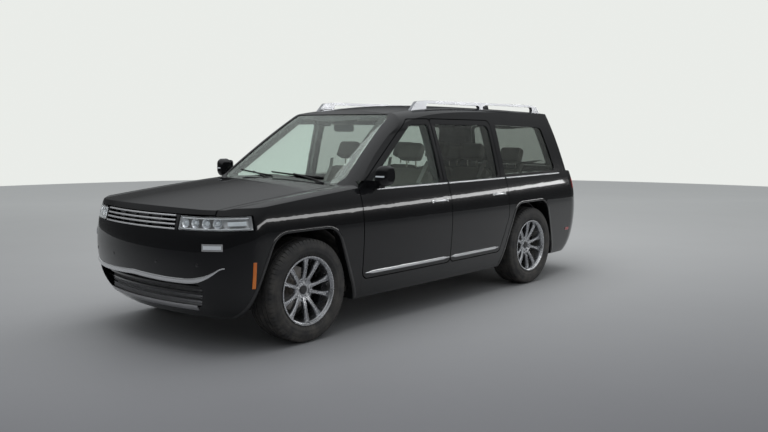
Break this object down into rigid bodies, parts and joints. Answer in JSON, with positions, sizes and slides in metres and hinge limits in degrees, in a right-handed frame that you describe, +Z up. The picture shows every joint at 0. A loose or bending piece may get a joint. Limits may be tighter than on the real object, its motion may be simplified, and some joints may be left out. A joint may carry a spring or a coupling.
{
  "type": "sport utility vehicle",
  "caption": "Long black family SUV with opening doors, hood and tailgate, steered front wheels, and seats in rows under a long glasshouse.",
  "frame": {"origin": "on the ground under the middle of the vehicle's length and width", "axes": "+X towards the nose, +Y towards the vehicle's left, +Z up"},
  "size_m": [5.2005, 2.154, 1.829],
  "materials": {
    "body_paint": "gloss black paint",
    "window_glass": "clear",
    "tinted_glass": "tinted",
    "lamp_lens": "clear",
    "red_lens": "clear red",
    "black_plastic": "gloss",
    "coated_steel": "satin",
    "liner_plastic": "matte",
    "chassis_steel": "satin",
    "cast_iron": "rough",
    "engine_metal": "satin",
    "bright_steel": "satin",
    "cabin_plastic": "soft touch",
    "wheel_leather": "satin",
    "seat_leather": "satin",
    "rail_metal": "satin",
    "tyre_rubber": "matte",
    "wheel_alloy": "polished"
  },
  "bodies": {
    "body": {"body_side_left": "body_paint", "body_side_right": "body_paint", "roof_panel": "body_paint", "fender_left": "body_paint", "fender_right": "body_paint", "front_bumper": "body_paint", "rear_bumper": "body_paint", "quarter_glass": "tinted_glass", "windscreen": "window_glass", "head_lamps": "lamp_lens", "tail_lamps": "red_lens", "grille": "black_plastic", "floor_pan": "coated_steel", "firewall": "coated_steel", "cowl": "black_plastic", "front_frame": "coated_steel", "front_liners": "liner_plastic", "front_struts": "chassis_steel", "front_subframe": "chassis_steel", "rear_subframe": "chassis_steel", "engine": "engine_metal", "fuel_tank": "liner_plastic", "exhaust": "bright_steel", "dashboard": "cabin_plastic", "console": "cabin_plastic", "steering_column": "cabin_plastic", "front_seats": "seat_leather", "second_row": "seat_leather", "third_row": "seat_leather", "roof_rails": "rail_metal"},
    "front_door_left": {"front_door_left": "body_paint", "front_door_glass_left": "window_glass", "mirror_left": "body_paint"},
    "front_door_right": {"front_door_right": "body_paint", "front_door_glass_right": "window_glass", "mirror_right": "body_paint"},
    "rear_door_left": {"rear_door_left": "body_paint", "rear_door_glass_left": "tinted_glass"},
    "rear_door_right": {"rear_door_right": "body_paint", "rear_door_glass_right": "tinted_glass"},
    "hood": {"hood": "body_paint"},
    "tailgate": {"tailgate": "body_paint", "tailgate_glass": "tinted_glass"},
    "knuckle_left": {"front_knuckle_left": "cast_iron"},
    "knuckle_right": {"front_knuckle_right": "cast_iron"},
    "steering_wheel": {"steering_wheel": "wheel_leather"},
    "front_wheel_left": {"front_wheel_left": "wheel_alloy", "front_tyre_left": "tyre_rubber"},
    "front_wheel_right": {"front_wheel_right": "wheel_alloy", "front_tyre_right": "tyre_rubber"},
    "rear_wheel_left": {"rear_wheel_left": "wheel_alloy", "rear_tyre_left": "tyre_rubber"},
    "rear_wheel_right": {"rear_wheel_right": "wheel_alloy", "rear_tyre_right": "tyre_rubber"}
  },
  "joints": [
    {"name": "front_door_left_hinge", "type": "hinge", "parent": "body", "child": "front_door_left", "pos_m": [1.102, 0.94551, 0.75], "axis": [0, 0, -1], "range_deg": [0, 66]},
    {"name": "rear_door_left_hinge", "type": "hinge", "parent": "body", "child": "rear_door_left", "pos_m": [-0.032, 0.95899, 0.75], "axis": [0, 0, -1], "range_deg": [0, 68]},
    {"name": "front_door_right_hinge", "type": "hinge", "parent": "body", "child": "front_door_right", "pos_m": [1.102, -0.94551, 0.75], "axis": [0, 0, 1], "range_deg": [0, 66]},
    {"name": "rear_door_right_hinge", "type": "hinge", "parent": "body", "child": "rear_door_right", "pos_m": [-0.032, -0.95899, 0.75], "axis": [0, 0, 1], "range_deg": [0, 68]},
    {"name": "hood_hinge", "type": "hinge", "parent": "body", "child": "hood", "pos_m": [1.285, 0, 1.125], "axis": [0, -1, 0], "range_deg": [0, 58]},
    {"name": "tailgate_hinge", "type": "hinge", "parent": "body", "child": "tailgate", "pos_m": [-2.23, 0, 1.728], "axis": [0, 1, 0], "range_deg": [0, 80]},
    {"name": "steer_left", "type": "hinge", "parent": "body", "child": "knuckle_left", "pos_m": [1.72, 0.728, 0.235], "axis": [0, -0.2079, 0.9781], "range_deg": [-33, 33]},
    {"name": "steer_right", "type": "hinge", "parent": "body", "child": "knuckle_right", "pos_m": [1.72, -0.728, 0.235], "axis": [0, 0.2079, 0.9781], "range_deg": [-33, 33]},
    {"name": "steering_wheel_turn", "type": "hinge", "parent": "body", "child": "steering_wheel", "pos_m": [0.64, 0.385, 0.985], "axis": [-0.9135, 0, 0.4067], "range_deg": [-495, 495]},
    {"name": "front_wheel_left_spin", "type": "hinge", "parent": "knuckle_left", "child": "front_wheel_left", "pos_m": [1.72, 0.827, 0.388], "axis": [0, 1, 0], "continuous": true},
    {"name": "front_wheel_right_spin", "type": "hinge", "parent": "knuckle_right", "child": "front_wheel_right", "pos_m": [1.72, -0.827, 0.388], "axis": [0, 1, 0], "continuous": true},
    {"name": "rear_wheel_left_spin", "type": "hinge", "parent": "body", "child": "rear_wheel_left", "pos_m": [-1.37, 0.827, 0.388], "axis": [0, 1, 0], "continuous": true},
    {"name": "rear_wheel_right_spin", "type": "hinge", "parent": "body", "child": "rear_wheel_right", "pos_m": [-1.37, -0.827, 0.388], "axis": [0, 1, 0], "continuous": true}
  ],
  "couplings": [
    {"joint": "steer_right", "follows": "steer_left", "ratio": 1},
    {"joint": "steering_wheel_turn", "follows": "steer_left", "ratio": 15}
  ]
}
